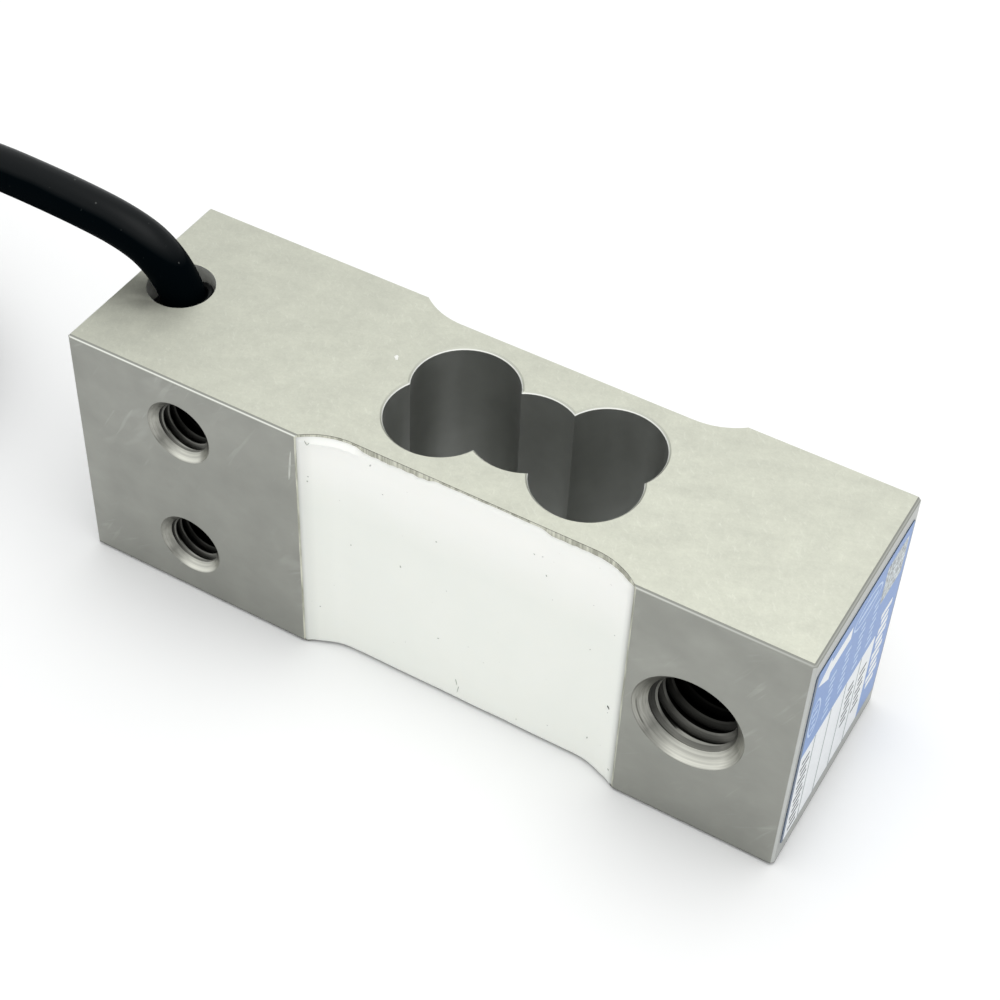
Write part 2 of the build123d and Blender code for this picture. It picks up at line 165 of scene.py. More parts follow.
# Hank, in millimetres: radius and height of each slot that a strand lies in, from the top one to
# the inner lower one, and the places along x where a strand shifts to the next slot
hank_near = -107.0
hank_far = -156.0
hank_middle = -11.0
hank_steps = 6
hank_slots = [(20.3, 14.7), (17.4, 8.7), (23.2, 8.7), (23.2, 2.9), (17.4, 2.9)]
hank_shifts = [(-124.0, -112.0), (-139.0, -126.0), (-154.0, -141.0)]
shift_lead = 6.0
far_lead = 0.5
near_lead = 2.0
top_lane = (-140.0, -122.0, -110.0)

# Tie: how far it pulls the strands in, the places where it does, and its section's reach
tie_pull = 0.9
back_lane = (
    (-110.5, 0.0),
    (-114.5, tie_pull),
    (-121.5, tie_pull),
    (-125.5, 0.0),
    (-132.0, 0.0),
    (-146.0, 0.0),
)
tie_inner, tie_shoulder, tie_outer = 0.03, 0.7, 0.88
tie_bevel = 0.2 * mm
tie_steps = 8
head_bevel = 0.35 * mm

# Camera, at the photograph's place
camera_place = Vector((86.64, -156.56, 205.88)) * mm
camera_direction = Vector((-0.32898, 0.61573, -0.71599))
camera_roll = math.radians(2.755)
camera_lens = 74.76
camera_sensor = 36.0


# Nodes

noise_roughness = 0.55
grain_height = 0.03 * mm


def new_material(name, color, roughness, metallic=0.0):
    """A material with its node tree and its Principled shader."""
    material = bpy.data.materials.new(name)
    material.use_nodes = True
    tree = material.node_tree
    shader = tree.nodes["Principled BSDF"]
    shader.inputs["Base Color"].default_value = (*color, 1.0)
    shader.inputs["Roughness"].default_value = roughness
    shader.inputs["Metallic"].default_value = metallic
    return material, tree, shader


def feed(tree, socket, value):
    """Link an input to a socket, or set it to a number or a colour."""
    if isinstance(value, bpy.types.NodeSocket):
        tree.links.new(value, socket)
    elif isinstance(value, (int, float)):
        socket.default_value = value
    else:
        socket.default_value = (*value, 1.0)


def object_noise(tree, scale, density=(1, 1, 1), turn=(0, 0, 0), detail=4.0):
    """Noise in the object's own turned coordinates; a density below 1 draws it out on its axis."""
    place = tree.nodes.new("ShaderNodeTexCoord")
    mapping = tree.nodes.new("ShaderNodeMapping")
    mapping.vector_type = "TEXTURE"
    mapping.inputs["Scale"].default_value = [1 / share for share in density]
    mapping.inputs["Rotation"].default_value = turn
    texture = tree.nodes.new("ShaderNodeTexNoise")
    texture.inputs["Scale"].default_value = scale
    texture.inputs["Detail"].default_value = detail
    texture.inputs["Roughness"].default_value = noise_roughness
    tree.links.new(place.outputs["Object"], mapping.inputs["Vector"])
    tree.links.new(mapping.outputs["Vector"], texture.inputs["Vector"])
    return texture.outputs["Fac"]


def ramp(tree, value, stops):
    """A colour ramp over a value; stops are pairs of place and grey or colour."""
    node = tree.nodes.new("ShaderNodeValToRGB")
    elements = node.color_ramp.elements
    while len(elements) < len(stops):
        elements.new(0.5)
    for element, (place, color) in zip(elements, stops):
        element.position = place
        shade = (color, color, color) if isinstance(color, float) else color
        element.color = (*shade, 1.0)
    tree.links.new(value, node.inputs["Fac"])
    return node.outputs["Color"]


def mix_color(tree, factor, first, second, blend="MIX"):
    """A mix of two colours; each may be a colour or a socket, the factor a number or a socket."""
    node = tree.nodes.new("ShaderNodeMix")
    node.data_type = "RGBA"
    node.blend_type = blend
    feed(tree, node.inputs[0], factor)
    feed(tree, node.inputs[6], first)
    feed(tree, node.inputs[7], second)
    return node.outputs[2]


def tinted(tree, color, tint):
    """A colour multiplied by another."""
    return mix_color(tree, 1.0, color, tint, "MULTIPLY")


def added(tree, first, second):
    """The sum of two colours."""
    return mix_color(tree, 1.0, first, second, "ADD")


def math_node(tree, operation, first, second=0.0):
    """One math operation on sockets or numbers."""
    node = tree.nodes.new("ShaderNodeMath")
    node.operation = operation
    feed(tree, node.inputs[0], first)
    feed(tree, node.inputs[1], second)
    return node.outputs[0]


def add_bump(tree, shader, height, strength, distance=grain_height):
    """Bump from a height socket."""
    node = tree.nodes.new("ShaderNodeBump")
    node.inputs["Strength"].default_value = strength
    node.inputs["Distance"].default_value = distance
    tree.links.new(height, node.inputs["Height"])
    tree.links.new(node.outputs["Normal"], shader.inputs["Normal"])


def parts_of(tree, vector):
    """Sockets of a vector's x, y and z."""
    split = tree.nodes.new("ShaderNodeSeparateXYZ")
    tree.links.new(vector, split.inputs[0])
    return split.outputs["X"], split.outputs["Y"], split.outputs["Z"]


def object_place(tree):
    """Sockets of the object's own x, y and z."""
    return parts_of(tree, tree.nodes.new("ShaderNodeTexCoord").outputs["Object"])


def facing_up(tree):
    """How far the surface faces up, from -1 to 1."""
    return parts_of(tree, tree.nodes.new("ShaderNodeNewGeometry").outputs["Normal"])[2]


def scaled(tree, value, low, high):
    """A value brought from its range low to high onto 0 to 1."""
    node = tree.nodes.new("ShaderNodeMapRange")
    node.inputs["From Min"].default_value = low
    node.inputs["From Max"].default_value = high
    tree.links.new(value, node.inputs["Value"])
    return node.outputs["Result"]


# Materials

def lit_top_tone(tree, along, grain, blots):
    """The top, pale in painted light: grain, soft blots, brush lines, pits, small bright dashes;
    painted shade at the left end.
    """
    tone = ramp(tree, grain, [(0.3, (0.672, 0.682, 0.585)), (0.7, (0.712, 0.72, 0.624))])
    brush = object_noise(tree, 2400, density=(0.05, 1, 1), turn=(0, 0, 0.35), detail=3)
    pits = object_noise(tree, 1500, detail=2)
    for value, low in ((blots, 0.955), (brush, 0.982), (pits, 0.945)):
        tone = tinted(tree, tone, ramp(tree, value, [(0.32, low), (0.68, 1.0)]))
    for turn, start in ((0.9, 0.64), (0.3, 0.65)):
        dashes = object_noise(tree, 2700, density=(1, 0.25, 1), turn=(0, 0, turn), detail=1)
        tone = added(tree, tone, ramp(tree, dashes, [(start, 0.0), (start + 0.08, 0.035)]))
    return tinted(tree, tone, ramp(tree, along, [(0.0, 0.92), (0.35, 1.0)]))


def end_tone(tree, z):
    """The two end faces, in painted shade darker than the top and darkest below their middle."""
    stops = [(0.0, 0.45), (0.12, 0.41), (0.27, 0.365), (0.68, 0.42), (1.0, 0.475)]
    stops = [(place, (tone, tone * 1.02, tone * 0.98)) for place, tone in stops]
    return ramp(tree, scaled(tree, z, 0.0, top_z), stops)


def waist_tone(tree, below_top):
    """The waist's cut walls: upright hatching, with a dark line along the top edge."""
    hatch = object_noise(tree, 2300, density=(1, 1, 0.1), detail=3)
    milled = ramp(tree, hatch, [(0.40, (0.36, 0.36, 0.30)), (0.62, (0.66, 0.66, 0.57))])
    line = ramp(tree, scaled(tree, below_top, 0.0, 0.5 * mm), [(0.14, 0.3), (0.26, 1.0)])
    return tinted(tree, milled, line)


def edge_tone(tree, along, below_top, at_bore):
    """The chamfers round the top, in painted light and shade: a bright line on grey, a pale lip
    round the flexure bore.
    """
    depth = scaled(tree, below_top, 0.0, 0.42 * mm)
    glint = ramp(tree, along, [(0.0, 0.98), (0.55, 0.95), (1.0, 0.55)])
    glint = tinted(tree, glint, (0.95, 0.96, 0.90))
    line = ramp(tree, depth, [(0.0, 0.0), (0.34, 0.0), (0.46, 1.0), (0.66, 1.0), (0.80, 0.0)])
    edge = mix_color(tree, line, (0.37, 0.375, 0.34), glint)
    lip = ramp(tree, depth, [(0.40, (0.68, 0.69, 0.60)), (0.50, (0.97, 0.98, 0.93))])
    return mix_color(tree, at_bore, edge, lip)


def side_scuffs(tree, on_side):
    """Faint pale strokes, in patches, on the two outer sides."""
    scuffs = None
    for size, thin, turn, start in (
        (300, 0.30, 0.8, 0.60),
        (1000, 0.10, 0.95, 0.62),
        (1300, 0.09, 0.5, 0.63),
    ):
        value = object_noise(tree, size, density=(1, 1, thin), turn=(0, turn, 0), detail=2)
        strokes = ramp(tree, value, [(start, 0.0), (start + 0.08, 1.0)])
        scuffs = strokes if scuffs is None else added(tree, scuffs, strokes)
    patch = ramp(tree, object_noise(tree, 110, detail=2), [(0.46, 0.0), (0.62, 1.0)])
    outer = ramp(tree, on_side, [(0.0, 0.0), (1.0, 0.04)])
    return tinted(tree, tinted(tree, scuffs, patch), outer)


def metal_material():
    """Satin aluminium: pale above in painted light and finely mottled, darker in painted shade with
    faint marks on the sides.
    """
    material, tree, shader = new_material("body_metal", (0.6, 0.6, 0.57), 0.42, 1.0)
    level = math_node(tree, "ABSOLUTE", facing_up(tree))
    flat = math_node(tree, "GREATER_THAN", level, flat_level)
    slanted = math_node(tree, "GREATER_THAN", level, slant_level)
    x, y, z = object_place(tree)
    along = scaled(tree, x, body_low.x, body_high.x)
    across = math_node(tree, "ABSOLUTE", y)
    on_side = math_node(tree, "GREATER_THAN", across, back_y - face_skin)
    from_middle = math_node(tree, "ABSOLUTE", x)
    on_end = math_node(tree, "GREATER_THAN", from_middle, body_high.x - face_skin)
    below_top = math_node(tree, "SUBTRACT", top_z, z)
    near_top = math_node(tree, "LESS_THAN", below_top, edge_height)
    from_waist = math_node(tree, "ABSOLUTE", math_node(tree, "SUBTRACT", x, waist_centre))
    near_waist = math_node(tree, "LESS_THAN", from_waist, waist_length / 2)
    past_wall = math_node(tree, "GREATER_THAN", across, waist_wall)
    within_bore = math_node(tree, "LESS_THAN", across, bore_reach)
    in_waist = math_node(tree, "MULTIPLY", near_waist, past_wall)
    at_bore = math_node(tree, "MULTIPLY", near_waist, within_bore)
    on_edge = math_node(tree, "MULTIPLY", slanted, near_top)

    grain = object_noise(tree, 3600, detail=4)
    blots = object_noise(tree, 420, density=(0.6, 1, 1), turn=(0, 0, 0.5), detail=4)
    cloud = object_noise(tree, 160, detail=3)
    bored = ramp(tree, cloud, [(0.3, (0.49, 0.50, 0.48)), (0.7, (0.55, 0.56, 0.54))])
    # Painted shade: the outer sides take a darker copy of the same metal
    side = ramp(tree, cloud, [(0.3, (0.305, 0.309, 0.283)), (0.7, (0.345, 0.349, 0.320))])
    base = mix_color(tree, in_waist, bored, waist_tone(tree, below_top))
    base = mix_color(tree, on_side, base, side)
    base = mix_color(tree, on_end, base, end_tone(tree, z))
    base = mix_color(tree, on_edge, base, edge_tone(tree, along, below_top, at_bore))
    # Painted light: flat faces, picked by which way they face in the world, take the pale top's
    # tone
    base = mix_color(tree, flat, base, lit_top_tone(tree, along, grain, blots))
    # Painted contact shadow: darker along the block's foot
    foot = ramp(tree, scaled(tree, z, 0.0, 0.9 * mm), [(0.0, 0.22), (0.38, 0.35), (0.7, 1.0)])
    marked = added(tree, tinted(tree, base, foot), side_scuffs(tree, on_side))
    tree.links.new(marked, shader.inputs["Base Color"])
    rough = ramp(tree, blots, [(0.3, 0.40), (0.7, 0.48)])
    tree.links.new(rough, shader.inputs["Roughness"])
    add_bump(tree, shader, grain, 0.16)
    return material


# Painted light and shade in a tapped hole: round its wall from the dark side to the lit one, and
# down its depth
crest_round = [(0.0, 0.20), (0.38, 0.32), (0.62, 0.30), (0.745, 0.23), (0.86, 0.37), (0.97, 0.66)]
crest_depth = [(0.16, 1.0), (0.19, 0.62), (0.32, 0.42), (0.48, 0.24), (0.62, 0.1), (0.8, 0.01)]
root_round = [(0.3, 0.03), (0.6, 0.05), (0.78, 0.13), (0.92, 0.24)]
root_depth = [(0.17, 0.85), (0.33, 0.8), (0.48, 0.5), (0.62, 0.2), (0.8, 0.01)]
light_up, light_right = -0.966, 0.26
throat_share = 0.168


def lathe_marks(tree, reach, facing):
    """Fine rings that a tool leaves: noise over the radius that changes slowly round the hole."""
    wave = tree.nodes.new("ShaderNodeTexNoise")
    wave.noise_dimensions = "2D"
    wave.inputs["Scale"].default_value = 1.0
    wave.inputs["Detail"].default_value = 3.0
    combine = tree.nodes.new("ShaderNodeCombineXYZ")
    tree.links.new(math_node(tree, "MULTIPLY", reach, 5200.0), combine.inputs[0])
    tree.links.new(math_node(tree, "MULTIPLY", facing, 2.5), combine.inputs[1])
    tree.links.new(combine.outputs[0], wave.inputs["Vector"])
    return wave.outputs["Fac"]


def hole_material(name, x, z, major, minor, sink, groove):
    """Cut aluminium of a tapped hole, in painted light and shade: lit below, dark in its grooves
    and towards its end.
    """
    material, tree, shader = new_material(name, (0.4, 0.4, 0.37), 0.36, 1.0)
    at_x, at_y, at_z = object_place(tree)
    side = math_node(tree, "SUBTRACT", at_x, x)
    up = math_node(tree, "SUBTRACT", at_z, z)
    squares = [math_node(tree, "MULTIPLY", value, value) for value in (side, up)]
    reach = math_node(tree, "SQRT", math_node(tree, "ADD", *squares))
    up_part = math_node(tree, "MULTIPLY", up, light_up)
    side_part = math_node(tree, "MULTIPLY", side, light_right)
    facing = math_node(tree, "DIVIDE", math_node(tree, "ADD", up_part, side_part), reach)
    turn = scaled(tree, facing, -1.0, 1.0)
    depth = scaled(tree, at_y, front_y, front_y + 1.5 * major * mm)

    crest = tinted(tree, ramp(tree, turn, crest_round), ramp(tree, depth, crest_depth))
    root = tinted(tree, ramp(tree, turn, root_round), ramp(tree, depth, root_depth))
    inside = math_node(tree, "GREATER_THAN", depth, throat_share)
    off_crest = math_node(tree, "GREATER_THAN", reach, (minor + 0.25 * (major - minor)) * mm)
    tone = mix_color(tree, math_node(tree, "MULTIPLY", inside, off_crest), crest, root)

    wave = lathe_marks(tree, reach, facing)
    tone = tinted(tree, tone, ramp(tree, wave, [(0.3, 0.82), (0.7, 1.15)]))
    outward = scaled(tree, reach, minor * mm, (sink - 0.1) * mm)
    lit = ramp(tree, outward, [(0.2, 0.86), (0.9, 1.2)])
    tone = tinted(tree, tone, mix_color(tree, inside, lit, (1.0, 1.0, 1.0)))
    rim = scaled(tree, reach, (sink - 0.16) * mm, sink * mm)
    tone = tinted(tree, tone, ramp(tree, rim, [(0.0, 1.0), (0.7, 0.72)]))
    # Painted shade in the countersink's groove, strongest towards the left
    if groove:
        band = scaled(tree, reach, (groove - 0.1) * mm, (groove + 0.1) * mm)
        line = ramp(tree, band, [(0.0, 0.0), (0.4, 1.0), (0.6, 1.0), (1.0, 0.0)])
        length = ramp(tree, turn, [(0.36, 0.0), (0.42, 1.0), (0.66, 1.0), (0.72, 0.0)])
        to_left = ramp(tree, scaled(tree, side, mm, -mm), [(0.0, 0.0), (1.0, 0.75)])
        line = tinted(tree, tinted(tree, line, length), to_left)
        tone = mix_color(tree, line, tone, (0.06, 0.06, 0.055))
    warm = tinted(tree, tone, (1.0, 0.995, 0.90))
    tree.links.new(warm, shader.inputs["Base Color"])
    add_bump(tree, shader, wave, 0.12, 0.02 * mm)
    return material


def plain_material(
    name, color, roughness, metallic=0.0, spread=0.15, scale=900, bump=0.1, gloss=0.5
):
    """A moulded or drawn finish with a little variation in shade and a fine grain."""
    material, tree, shader = new_material(name, color, roughness, metallic)
    shader.inputs["Specular IOR Level"].default_value = gloss
    value = object_noise(tree, scale)
    low = tuple(c * (1 - spread) for c in color)
    high = tuple(min(1.0, c * (1 + spread)) for c in color)
    tree.links.new(ramp(tree, value, [(0.3, low), (0.7, high)]), shader.inputs["Base Color"])
    add_bump(tree, shader, value, bump)
    return material


def film_material(name, color):
    """Printed film: even colour with a faint mottle."""
    return plain_material(name, color, 0.34, spread=0.04, scale=1400, bump=0.04)


def silicone_material():
    """White silicone rubber: a painted highlight towards its top, painted shade grey at its edges,
    and specks of dust.
    """
    material, tree, shader = new_material("silicone", (0.86, 0.87, 0.85), 0.34)
    shader.inputs["Subsurface Weight"].default_value = 0.25
    shader.inputs["Subsurface Radius"].default_value = (0.8, 0.75, 0.7)
    shader.inputs["Subsurface Scale"].default_value = 1.2 * mm
    x, y, z = object_place(tree)
    cloud = object_noise(tree, 110, detail=2)
    tone = ramp(tree, cloud, [(0.3, (0.885, 0.905, 0.850)), (0.7, (0.905, 0.92, 0.865))])
    # Painted highlight: brighter towards the top
    rise = scaled(tree, z, top_z - 12.0 * mm, top_z - 1.5 * mm)
    lift = ramp(tree, rise, [(0.0, 0.0), (0.3, 0.3), (0.8, 1.0)])
    tone = mix_color(tree, lift, tone, (1.0, 1.0, 0.95))
    # Painted shade: darker along the foot, and grey at both ends of the waist
    foot = [(0.2, 0.12), (0.42, 0.3), (0.62, 1.0)]
    left = [(0.05, 0.70), (0.16, 0.86), (0.45, 0.96), (1.0, 1.0)]
    right = [(0.2, 1.0), (0.6, 0.84), (1.0, 0.48)]
    for value, low, high, stops in (
        (z, 0.0, 0.8 * mm, foot),
        (x, waist_start, waist_start + 4.5 * mm, left),
        (x, waist_end - 1.5 * mm, waist_end - 0.3 * mm, right),
    ):
        tone = tinted(tree, tone, ramp(tree, scaled(tree, value, low, high), stops))
    specks = ramp(tree, object_noise(tree, 1300, detail=1), [(0.775, 1.0), (0.82, 0.45)])
    tree.links.new(tinted(tree, tone, specks), shader.inputs["Base Color"])
    add_bump(tree, shader, object_noise(tree, 700, detail=3), 0.1, 0.06 * mm)
    return material


def jacket_material():
    """Black PVC: a flat grey sheen along the upper side, near black below, scuffs and dust."""
    black = (0.0006, 0.0018, 0.0026)
    material, tree, shader = new_material("cable_jacket", black, 0.42)
    # Painted sheen: a specular level that rises where the cable faces up in the world
    wander = math_node(tree, "MULTIPLY", object_noise(tree, 90, detail=2), 0.2)
    lifted = math_node(tree, "ADD", facing_up(tree), wander)
    sheen = math_node(tree, "MULTIPLY", ramp(tree, lifted, [(0.68, 0.0), (0.86, 1.0)]), 0.135)
    # Near the linked level's mean, for a reader that leaves a linked level out
    shader.inputs["Specular IOR Level"].default_value = 0.08
    tree.links.new(math_node(tree, "ADD", sheen, 0.006), shader.inputs["Specular IOR Level"])
    scuffs = ramp(tree, object_noise(tree, 520, detail=3), [(0.70, 0.0), (0.75, 1.0)])
    dust = ramp(tree, object_noise(tree, 1500, detail=1), [(0.77, 0.0), (0.80, 1.0)])
    color = mix_color(tree, scuffs, black, (0.03, 0.034, 0.034))
    color = mix_color(tree, dust, color, (0.055, 0.058, 0.056))
    tree.links.new(color, shader.inputs["Base Color"])
    smooth = object_noise(tree, 60, density=(0.3, 1, 1), detail=3)
    tree.links.new(ramp(tree, smooth, [(0.3, 0.38), (0.7, 0.50)]), shader.inputs["Roughness"])
    add_bump(tree, shader, object_noise(tree, 1600, detail=3), 0.08, 0.04 * mm)
    return material


materials = {
    "body_metal": metal_material(),
    "silicone": silicone_material(),
    "label_film": film_material("label_blue", (0.108, 0.238, 0.56)),
    "collar_rubber": plain_material("collar_rubber", (0.001, 0.0016, 0.0018), 0.3, gloss=0.1),
    "cable_jacket": jacket_material(),
    "tie_plastic": plain_material("tie_plastic", (0.008, 0.008, 0.0085), 0.5, gloss=0.2),
    "shrink_sleeve": plain_material("shrink_sleeve", (0.018, 0.018, 0.019), 0.5),
    "potting": plain_material("potting", (0.002, 0.002, 0.0025), 0.3, gloss=0.25),
    "tinned_copper": plain_material("tinned_copper", (0.75, 0.75, 0.72), 0.3, 1.0, bump=0.3),
    "enamel_copper": plain_material("enamel_copper", (0.66, 0.27, 0.12), 0.25, 1.0),
    "board": plain_material("board", (0.03, 0.16, 0.06), 0.35),
    "resistor": plain_material("resistor", (0.12, 0.3, 0.45), 0.3),
    "gauge_film": plain_material("gauge_film", (0.5, 0.28, 0.06), 0.3),
    "wire_red": plain_material("wire_red", (0.45, 0.012, 0.012), 0.35),
    "wire_black": plain_material("wire_black", (0.012, 0.012, 0.012), 0.35),
    "wire_green": plain_material("wire_green", (0.01, 0.18, 0.04), 0.35),
    "wire_white": plain_material("wire_white", (0.75, 0.75, 0.72), 0.35),
}
# Painted light: a pale matte copy of the metal, so that the cable bore's upper wall shows lit
lit_bore_lining = plain_material("lit_bore_lining", (0.92, 0.93, 0.86), 0.5, spread=0.04)

# Materials of the plate and of the marks, with the names of their indices
plate_blue, plate_white, plate_line, plate_pale, plate_deep, plate_mark, plate_grey = range(7)
plate_materials = [
    materials["label_film"],
    film_material("label_white", (0.80, 0.82, 0.84)),
    film_material("label_line", (0.30, 0.34, 0.34)),
    film_material("label_pale", (0.42, 0.56, 0.80)),
    film_material("label_deep", (0.04, 0.08, 0.15)),
    film_material("label_mark", (0.05, 0.06, 0.06)),
    plain_material("label_grey", (0.42, 0.46, 0.48), 0.4, spread=0.85, scale=2000, bump=0.02),
]
grey_mark, dark_mark, smear_mark, white_mark = range(4)
mark_materials = [
    plain_material("skin_mark", (0.42, 0.44, 0.39), 0.6, spread=0.3),
    plain_material("dark_speck", (0.02, 0.02, 0.02), 0.6),
    plain_material("pale_smear", (0.52, 0.53, 0.49), 0.6),
    materials["silicone"],
]

for part in frame["record"]["subparts"]:
    node = frame["nodes"][part["node"]]
    node.data.materials.clear()
    node.data.materials.append(materials[part["material_slot"]])


# Mesh helpers

crisp_angle = math.radians(32)


def make_piece(name, mesh_maker, piece_materials, smooth=True):
    """A mesh object on the body, built by mesh_maker(bm); its steep edges stay crisp."""
    bm = bmesh.new()
    mesh_maker(bm)
    bmesh.ops.recalc_face_normals(bm, faces=bm.faces)
    for edge in bm.edges:
        if len(edge.link_faces) == 2 and edge.calc_face_angle() > crisp_angle:
            edge.smooth = False
    mesh = bpy.data.meshes.new(name)
    bm.to_mesh(mesh)
    bm.free()
    for piece_material in piece_materials:
        mesh.materials.append(piece_material)
    for polygon in mesh.polygons:
        polygon.use_smooth = smooth
    piece = bpy.data.objects.new(name, mesh)
    bpy.context.scene.collection.objects.link(piece)
    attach(piece, "root")
    return piece


def full_turn(count):
    """The angles of a full turn, in as many equal steps."""
    return [2 * math.pi * i / count for i in range(count)]


def bridge_rings(bm, rings, closed=True):
    """Faces between rings of as many vertices; closed joins a ring's last vertex to its first."""
    for first, second in zip(rings, rings[1:]):
        count = len(first)
        for i in range(count if closed else count - 1):
            j = (i + 1) % count
            bm.faces.new((first[i], first[j], second[j], second[i]))


def paint_from(bm, before, index):
    """Give the faces made after the first so many their piece's material of that index."""
    bm.faces.ensure_lookup_table()
    for face in bm.faces[before:]:
        face.material_index = index


# Tapped holes

def lathe_rings(bm, x, z, profile, count):
    """Rings about an axis along y at x and z, one for each depth and radius in millimetres."""
    rings = []
    for depth, radius in profile:
        ring = []
        for angle in full_turn(count):
            across = radius * mm * math.cos(angle)
            rise = radius * mm * math.sin(angle)
            ring.append(bm.verts.new((x + across, front_y + depth * mm, z - rise)))
        rings.append(ring)
    return rings


def lining_mesh(x, z, major, sink, throat, depth, count):
    """A thin skin over the countersink and the wall of a tapped hole; sizes in millimetres."""
    skin = 0.045
    lip = 0.01
    overlap = 0.1
    back = major + overlap
    mouth = sink - throat
    profile = (
        (lip, sink - lip - skin),
        (mouth, throat - skin),
        (mouth + 0.3, major - skin),
        (depth, major - skin),
        (depth, back),
        (sink - major + overlap, back),
        (lip, sink + 0.08),
    )

    def build(bm):
        rings = lathe_rings(bm, x, z, profile, count)
        bridge_rings(bm, [*rings, rings[0]])

    return build


def thread_mesh(x, z, major, minor, pitch, sink, depth, first, steps):
    """An internal thread's ridge, cut back by the countersink; sizes in millimetres."""
    root = major + 0.05
    least_level, sink_gap = 0.1, 0.07
    profile = (
        (-thread_root, root),
        (-thread_crest, minor),
        (thread_crest, minor),
        (thread_root, root),
    )

    def build(bm):
        count = int((depth - first - pitch / 2) / pitch * steps)
        rings = []
        for i in range(-steps, count + 1):
            angle = 2 * math.pi * i / steps
            ring = []
            for along, radius in profile:
                level = max(first + pitch * (i / steps + along), least_level)
                reach = max(radius, sink - level + sink_gap) * mm
                across = reach * math.cos(angle)
                rise = reach * math.sin(angle)
                ring.append(bm.verts.new((x + across, front_y + level * mm, z - rise)))
            rings.append(ring)
        bridge_rings(bm, rings)
        bm.faces.new(rings[0])
        bm.faces.new(rings[-1])

    return build


for thread_name, (x, z, thread_sizes) in tapped_holes.items():
    major, minor, pitch, sink, throat, depth, first, steps, groove = thread_sizes
    cut_metal = hole_material(thread_name, x, z, major, minor, sink, groove)
    ridge = thread_mesh(x, z, major, minor, pitch, sink, depth, first, steps)
    lining = lining_mesh(x, z, major, sink, throat, depth, 2 * steps)
    make_piece(thread_name, ridge, [cut_metal])
    make_piece(thread_name.replace("thread", "hole"), lining, [cut_metal])


# Silicone

def waist_profile():
    """Points across the waist as (x, depth, outward x, outward depth), about one step apart."""
    rise = cutter_radius - waist_depth
    half_angle = math.acos(rise / cutter_radius)
    reach = cutter_radius * math.sin(half_angle)
    floor_half = waist_length / 2 - reach
    arc_count = round(cutter_radius * half_angle / sealant_step)
    floor_count = round(2 * floor_half / sealant_step)
    edge_angle = half_angle - sealant_edge / cutter_radius
    end_angle = half_angle - sealant_end / cutter_radius
    points = []
    for i in range(arc_count):
        points.append((-floor_half, edge_angle * (1 - i / arc_count), -1))
    for i in range(floor_count):
        points.append((-floor_half + 2 * floor_half * i / floor_count, 0.0, 1))
    for i in range(arc_count + 1):
        points.append((floor_half, end_angle * i / arc_count, 1))
    profile = []
    for centre, angle, way in points:
        x = waist_centre + centre + way * cutter_radius * math.sin(angle)
        depth = cutter_radius * math.cos(angle) - rise
        profile.append((x, depth, -way * math.sin(angle), -math.cos(angle)))
    return profile


def ease(value):
    """A smooth step from 0 to 1."""
    value = max(0.0, min(1.0, value))
    return value * value * (3 - 2 * value)


def window(value, start, end, taper):
    """1 between start and end, falling to 0 over the taper inside each end."""
    return ease((value - start) / taper) * ease((end - value) / taper)


def sealant_mesh(side, strips):
    """A filled skin over one waist: side is -1 at the front and 1 at the back."""
    profile = waist_profile()
    rows = round((top_z - 2 * sealant_rim) / sealant_step)
    face = front_y if side < 0 else back_y

    def wobble(x, z, height, length, seed):
        return height * noise.noise(Vector((x / length, z / length, seed + side * side_seed)))

    def edges(x):
        low = sealant_low_rim + wobble(x, 0.0, *low_edge_noise)
        high = top_z - sealant_rim + wobble(x, 1.0, *top_edge_noise)
        for start, end in strips:
            ragged = 1 + wobble(x, 4.0, *ragged_noise)
            high -= strip_drop * ragged * window(x, start, end, strip_taper)
        return low, high

    def build(bm):
        outer, inner = [], []
        for column, (x, depth, out_x, out_depth) in enumerate(profile):
            low, high = edges(x)
            from_end = min(column, len(profile) - 1 - column) * sealant_step
            outer_ring, inner_ring = [], []
            for row in range(rows + 1):
                z = low + (high - low) * row / rows
                near = min(z - low, high - z, from_end)
                roll = math.sqrt(max(0.0, 1 - (1 - min(near / sealant_roll, 1.0)) ** 2))
                height = sealant_crown * roll
                height += roll * wobble(x, z, *swell_noise)
                height += roll * wobble(x * ripple_draw, z, *ripple_noise)
                if side < 0:
                    slope = 1 - (1 - min((high - z) / bulge_reach, 1.0)) ** 2
                    height += sealant_bulge * slope * roll * ease(from_end / bulge_taper)
                    bead = math.exp(-(((high - bead_drop - z) / bead_half) ** 2))
                    height += bead_height * bead * window(x, *bead_span, bead_taper)
                sunk = pocket_depth * pocket_fill if near > pocket_lip else sealant_skin
                for ring, out in ((outer_ring, height), (inner_ring, -sunk)):
                    level = depth + out_depth * out
                    ring.append(bm.verts.new((x + out_x * out, face - side * level, z)))
            outer.append(outer_ring)
            inner.append(inner_ring)
        bridge_rings(bm, outer, closed=False)
        bridge_rings(bm, inner, closed=False)
        for rings in ((outer[0], inner[0]), (outer[-1], inner[-1])):
            bridge_rings(bm, rings, closed=False)
        for row in (0, -1):
            outer_edge = [ring[row] for ring in outer]
            inner_edge = [ring[row] for ring in inner]
            bridge_rings(bm, (outer_edge, inner_edge), closed=False)

    return build


front_skin = make_piece(
    "front_silicone", sealant_mesh(-1, bare_strips), [materials["silicone"]]
)
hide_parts("front_sealant")


